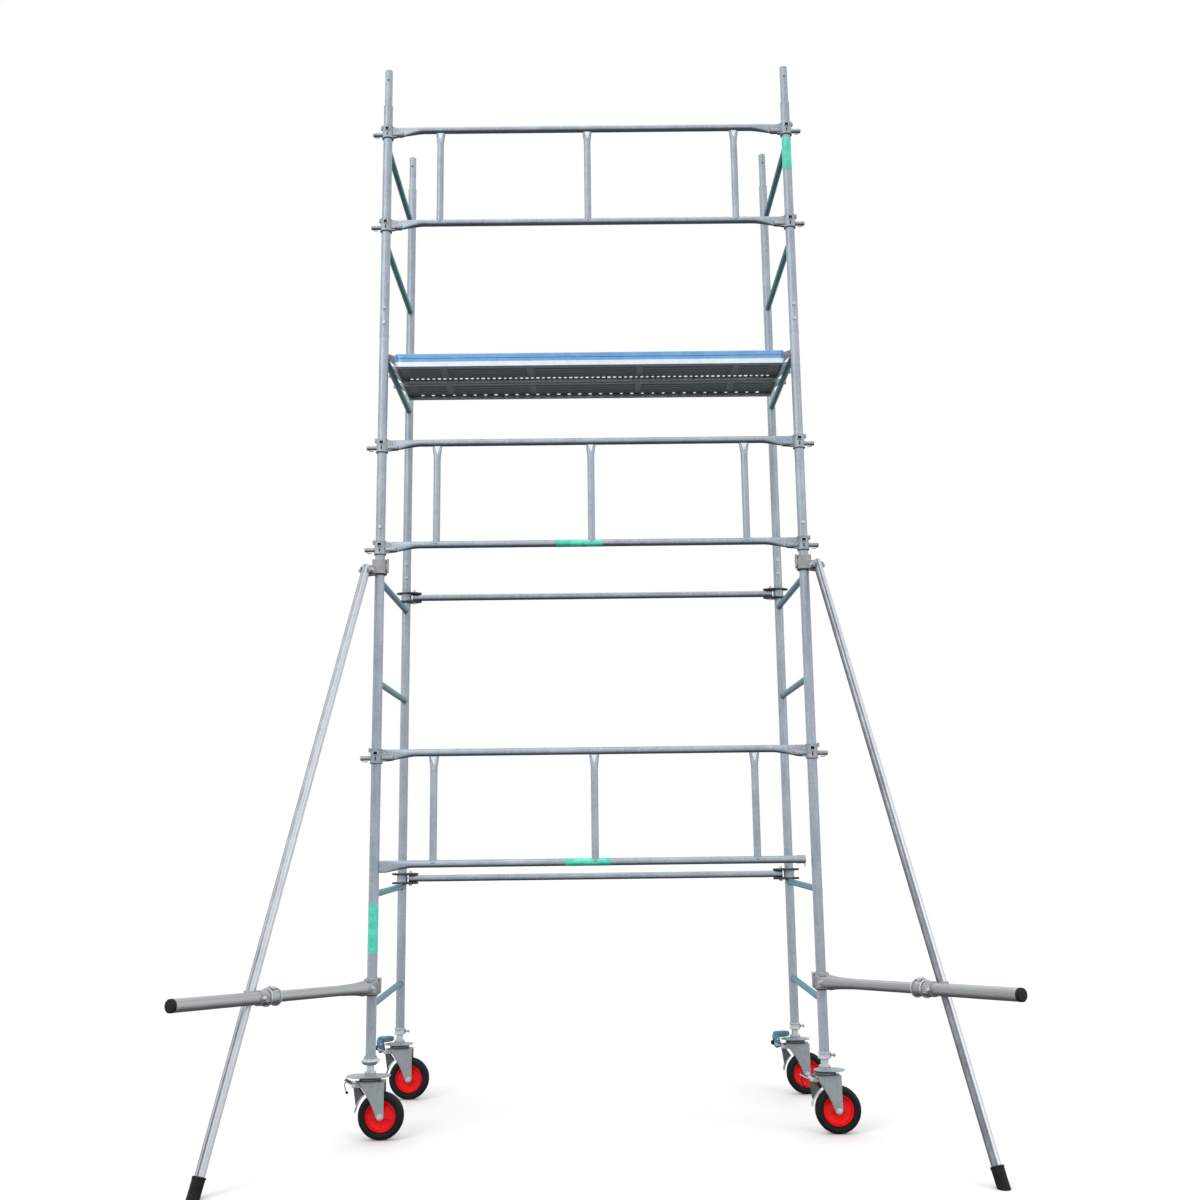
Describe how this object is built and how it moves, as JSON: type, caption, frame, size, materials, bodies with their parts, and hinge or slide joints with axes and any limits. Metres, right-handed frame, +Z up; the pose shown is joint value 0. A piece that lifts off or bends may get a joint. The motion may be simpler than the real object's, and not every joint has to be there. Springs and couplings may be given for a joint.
{
  "type": "mobile tower scaffold",
  "caption": "Mobile tower scaffold: ladder end frames on braked swivel castors, hooked steel planks, front guardrails, back ledgers and swing-out stabilisers.",
  "frame": {"origin": "middle of the whole footprint, stabilisers included, on the floor", "axes": "+Z up, +X along the platform to the right, +Y from the guarded front to the back"},
  "size_m": [3.1148, 2.036, 5.115],
  "materials": {
    "galvanised_tube": "hot-dip galvanised tube, faint spangle, satin",
    "galvanised_sheet": "galvanised folded sheet, fine spangle",
    "rung_paint": "teal powder coat, worn on top",
    "pressed_steel": "pressed galvanised steel, dull",
    "zinc_fasteners": "bright zinc plate",
    "clamp_grey": "warm grey cast and coated steel, matt",
    "brace_tube": "bright drawn tube",
    "arm_grey": "grey coated tube, satin",
    "black_rubber": "black rubber",
    "castor_zinc": "zinc-plated pressings",
    "wheel_red": "red moulded core",
    "tyre_black": "black rubber tread",
    "pedal_zinc": "zinc-plated pressing"
  },
  "bodies": {
    "tower": {"left_lower_uprights": "galvanised_tube", "left_middle_uprights": "galvanised_tube", "left_top_uprights": "galvanised_tube", "right_lower_uprights": "galvanised_tube", "right_middle_uprights": "galvanised_tube", "right_top_uprights": "galvanised_tube", "lower_rungs": "rung_paint", "platform_rungs": "rung_paint", "top_rungs": "rung_paint", "joint_spigots": "galvanised_tube", "joint_pins": "zinc_fasteners", "lower_guardrail": "galvanised_tube", "middle_guardrail": "galvanised_tube", "top_guardrail": "galvanised_tube", "guardrail_posts": "galvanised_tube", "rail_pockets": "pressed_steel", "rear_ledgers": "galvanised_tube", "ledger_clamps": "pressed_steel", "ledger_clamp_bolts": "zinc_fasteners", "front_plank": "galvanised_sheet", "rear_plank": "galvanised_sheet", "plank_hooks": "pressed_steel", "leg_collars": "pressed_steel", "collar_wing_bolts": "zinc_fasteners"},
    "left_lock_pins": {"left_lock_pins": "zinc_fasteners"},
    "right_lock_pins": {"right_lock_pins": "zinc_fasteners"},
    "front_left_leg": {"front_left_leg": "zinc_fasteners"},
    "front_left_swivel": {"front_left_fork": "castor_zinc"},
    "front_left_wheel": {"front_left_wheel_hub": "wheel_red", "front_left_tyre": "tyre_black"},
    "front_left_brake": {"front_left_brake_pedal": "pedal_zinc"},
    "front_right_leg": {"front_right_leg": "zinc_fasteners"},
    "front_right_swivel": {"front_right_fork": "castor_zinc"},
    "front_right_wheel": {"front_right_wheel_hub": "wheel_red", "front_right_tyre": "tyre_black"},
    "front_right_brake": {"front_right_brake_pedal": "pedal_zinc"},
    "rear_left_leg": {"rear_left_leg": "zinc_fasteners"},
    "rear_left_swivel": {"rear_left_fork": "castor_zinc"},
    "rear_left_wheel": {"rear_left_wheel_hub": "wheel_red", "rear_left_tyre": "tyre_black"},
    "rear_left_brake": {"rear_left_brake_pedal": "pedal_zinc"},
    "rear_right_leg": {"rear_right_leg": "zinc_fasteners"},
    "rear_right_swivel": {"rear_right_fork": "castor_zinc"},
    "rear_right_wheel": {"rear_right_wheel_hub": "wheel_red", "rear_right_tyre": "tyre_black"},
    "rear_right_brake": {"rear_right_brake_pedal": "pedal_zinc"},
    "left_stabiliser": {"left_stabiliser_clamps": "clamp_grey", "left_stabiliser_brace": "brace_tube", "left_stabiliser_foot": "black_rubber", "left_stabiliser_coupler": "clamp_grey", "left_arm_inner_tube": "arm_grey"},
    "left_arm": {"left_arm_outer_tube": "arm_grey", "left_arm_end_cap": "black_rubber"},
    "right_stabiliser": {"right_stabiliser_clamps": "clamp_grey", "right_stabiliser_brace": "brace_tube", "right_stabiliser_foot": "black_rubber", "right_stabiliser_coupler": "clamp_grey", "right_arm_inner_tube": "arm_grey"},
    "right_arm": {"right_arm_outer_tube": "arm_grey", "right_arm_end_cap": "black_rubber"}
  },
  "joints": [
    {"name": "left_lock_pins_slide", "type": "slide", "parent": "tower", "child": "left_lock_pins", "axis": [-1, 0, 0], "range_m": [0, 0.045]},
    {"name": "right_lock_pins_slide", "type": "slide", "parent": "tower", "child": "right_lock_pins", "axis": [1, 0, 0], "range_m": [0, 0.045]},
    {"name": "front_left_leg_slide", "type": "slide", "parent": "tower", "child": "front_left_leg", "axis": [0, 0, 1], "range_m": [-0.2, 0]},
    {"name": "front_left_castor_swivel", "type": "hinge", "parent": "front_left_leg", "child": "front_left_swivel", "pos_m": [-1, 0.11199, 0.246], "axis": [0, 0, 1], "continuous": true},
    {"name": "front_left_wheel_spin", "type": "hinge", "parent": "front_left_swivel", "child": "front_left_wheel", "pos_m": [-0.95, 0.11199, 0.1], "axis": [0, 1, 0], "continuous": true},
    {"name": "front_left_brake_press", "type": "hinge", "parent": "front_left_swivel", "child": "front_left_brake", "pos_m": [-1.066, 0.11199, 0.232], "axis": [0, -1, 0], "range_deg": [0, 4.5]},
    {"name": "front_right_leg_slide", "type": "slide", "parent": "tower", "child": "front_right_leg", "axis": [0, 0, 1], "range_m": [-0.2, 0]},
    {"name": "front_right_castor_swivel", "type": "hinge", "parent": "front_right_leg", "child": "front_right_swivel", "pos_m": [1, 0.11199, 0.246], "axis": [0, 0, 1], "continuous": true},
    {"name": "front_right_wheel_spin", "type": "hinge", "parent": "front_right_swivel", "child": "front_right_wheel", "pos_m": [1.05, 0.11199, 0.1], "axis": [0, 1, 0], "continuous": true},
    {"name": "front_right_brake_press", "type": "hinge", "parent": "front_right_swivel", "child": "front_right_brake", "pos_m": [0.934, 0.11199, 0.232], "axis": [0, -1, 0], "range_deg": [0, 4.5]},
    {"name": "rear_left_leg_slide", "type": "slide", "parent": "tower", "child": "rear_left_leg", "axis": [0, 0, 1], "range_m": [-0.2, 0]},
    {"name": "rear_left_castor_swivel", "type": "hinge", "parent": "rear_left_leg", "child": "rear_left_swivel", "pos_m": [-1, 0.96199, 0.246], "axis": [0, 0, 1], "continuous": true},
    {"name": "rear_left_wheel_spin", "type": "hinge", "parent": "rear_left_swivel", "child": "rear_left_wheel", "pos_m": [-0.95, 0.96199, 0.1], "axis": [0, 1, 0], "continuous": true},
    {"name": "rear_left_brake_press", "type": "hinge", "parent": "rear_left_swivel", "child": "rear_left_brake", "pos_m": [-1.066, 0.96199, 0.232], "axis": [0, -1, 0], "range_deg": [0, 4.5]},
    {"name": "rear_right_leg_slide", "type": "slide", "parent": "tower", "child": "rear_right_leg", "axis": [0, 0, 1], "range_m": [-0.2, 0]},
    {"name": "rear_right_castor_swivel", "type": "hinge", "parent": "rear_right_leg", "child": "rear_right_swivel", "pos_m": [1, 0.96199, 0.246], "axis": [0, 0, 1], "continuous": true},
    {"name": "rear_right_wheel_spin", "type": "hinge", "parent": "rear_right_swivel", "child": "rear_right_wheel", "pos_m": [1.05, 0.96199, 0.1], "axis": [0, 1, 0], "continuous": true},
    {"name": "rear_right_brake_press", "type": "hinge", "parent": "rear_right_swivel", "child": "rear_right_brake", "pos_m": [0.934, 0.96199, 0.232], "axis": [0, -1, 0], "range_deg": [0, 4.5]},
    {"name": "left_stabiliser_swing", "type": "hinge", "parent": "tower", "child": "left_stabiliser", "pos_m": [-1, 0.11199, 0.645], "axis": [0, 0, 1], "range_deg": [-95, 25]},
    {"name": "left_arm_slide", "type": "slide", "parent": "left_stabiliser", "child": "left_arm", "axis": [-0.4532, -0.8895, 0.0576], "range_m": [-0.27, 0]},
    {"name": "right_stabiliser_swing", "type": "hinge", "parent": "tower", "child": "right_stabiliser", "pos_m": [1, 0.11199, 0.645], "axis": [0, 0, 1], "range_deg": [-25, 95]},
    {"name": "right_arm_slide", "type": "slide", "parent": "right_stabiliser", "child": "right_arm", "axis": [0.4532, -0.8895, 0.0576], "range_m": [-0.27, 0]}
  ]
}
